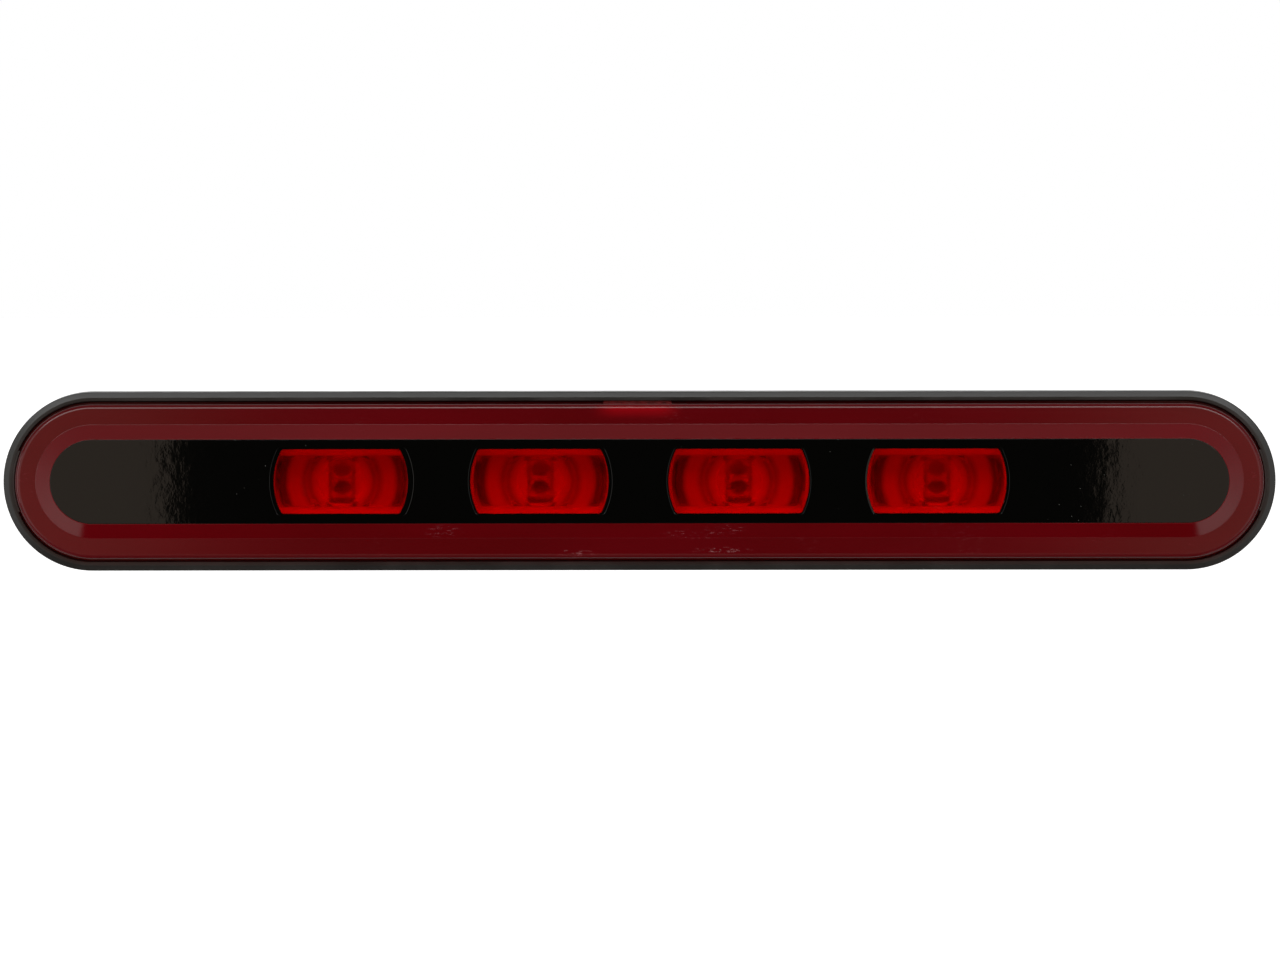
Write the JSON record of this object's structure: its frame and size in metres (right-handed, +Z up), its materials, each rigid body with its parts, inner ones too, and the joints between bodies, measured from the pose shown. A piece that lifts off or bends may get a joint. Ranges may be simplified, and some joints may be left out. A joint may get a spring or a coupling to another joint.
{
  "type": "third brake light",
  "caption": "Long stadium-shaped centre high-mounted brake lamp: black housing, stepped red lens with a gloss black mask and round-sided light windows, spring clips behind.",
  "frame": {"origin": "centre of the gasket's rear face, the plane that the lamp seats on", "axes": "+X along the lamp, +Z up, +Y into the vehicle's panel, so the lamp shines towards -Y"},
  "size_m": [0.2504, 0.0332, 0.0354],
  "materials": {
    "housing_plastic": "moulded black polypropylene with a fine grain, semi-matt",
    "foam_rubber": "closed-cell foam, matt",
    "sealant": "cured sealant, satin",
    "red_lens": "transparent red acrylic, polished",
    "black_mask": "gloss black second shot, slight orange peel",
    "bezel_plastic": "charcoal plastic, matt",
    "reflector_white": "white reflector plastic, satin",
    "clear_optic": "clear polished acrylic",
    "board_laminate": "green solder mask over glass laminate",
    "led_package": "white package with a soft dome of clear resin",
    "chip_black": "moulded epoxy, matt",
    "ceramic_tan": "tan ceramic, satin",
    "tinned_brass": "tinned brass, satin",
    "potting_resin": "black resin, glossy",
    "solder": "solder, bright",
    "vent_film": "white breathable film, matt",
    "cap_plastic": "black rubbery plastic, matt",
    "screw_steel": "zinc plated steel",
    "spring_steel": "rolled stainless spring strip"
  },
  "bodies": {
    "lamp": {"housing": "housing_plastic", "gasket": "foam_rubber", "lens_seal": "sealant", "outer_lens": "red_lens", "lens_mask": "black_mask", "inner_bezel": "bezel_plastic", "reflector": "reflector_white", "optic_1": "clear_optic", "optic_2": "clear_optic", "optic_3": "clear_optic", "optic_4": "clear_optic", "circuit_board": "board_laminate", "led_1_upper": "led_package", "led_1_lower": "led_package", "led_2_upper": "led_package", "led_2_lower": "led_package", "led_3_upper": "led_package", "led_3_lower": "led_package", "led_4_upper": "led_package", "led_4_lower": "led_package", "resistor_1": "chip_black", "resistor_2": "chip_black", "resistor_3": "chip_black", "resistor_4": "chip_black", "polarity_diode": "chip_black", "surge_suppressor": "chip_black", "capacitor_1": "ceramic_tan", "capacitor_2": "ceramic_tan", "current_driver": "chip_black", "positive_terminal": "tinned_brass", "ground_terminal": "tinned_brass", "terminal_potting": "potting_resin", "positive_solder_joint": "solder", "ground_solder_joint": "solder", "vent_membrane": "vent_film", "vent_cap": "cap_plastic", "reflector_screw_left": "screw_steel", "reflector_screw_right": "screw_steel", "board_screw_left": "screw_steel", "board_screw_right": "screw_steel", "left_clip_saddle": "spring_steel", "right_clip_saddle": "spring_steel"},
    "left_outer_leg": {"left_clip_outer_leg": "spring_steel"},
    "left_inner_leg": {"left_clip_inner_leg": "spring_steel"},
    "right_outer_leg": {"right_clip_outer_leg": "spring_steel"},
    "right_inner_leg": {"right_clip_inner_leg": "spring_steel"}
  },
  "joints": [
    {"name": "left_outer_leg_flex", "type": "hinge", "parent": "lamp", "child": "left_outer_leg", "pos_m": [-0.0909, 0.00895, 0], "axis": [0, 0, 1], "range_deg": [0, 12], "stiffness_Nm_per_rad": 0.6},
    {"name": "left_inner_leg_flex", "type": "hinge", "parent": "lamp", "child": "left_inner_leg", "pos_m": [-0.0851, 0.00895, 0], "axis": [0, 0, -1], "range_deg": [0, 12], "stiffness_Nm_per_rad": 0.6},
    {"name": "right_outer_leg_flex", "type": "hinge", "parent": "lamp", "child": "right_outer_leg", "pos_m": [0.0909, 0.00895, 0], "axis": [0, 0, -1], "range_deg": [0, 12], "stiffness_Nm_per_rad": 0.6},
    {"name": "right_inner_leg_flex", "type": "hinge", "parent": "lamp", "child": "right_inner_leg", "pos_m": [0.0851, 0.00895, 0], "axis": [0, 0, 1], "range_deg": [0, 12], "stiffness_Nm_per_rad": 0.6}
  ]
}
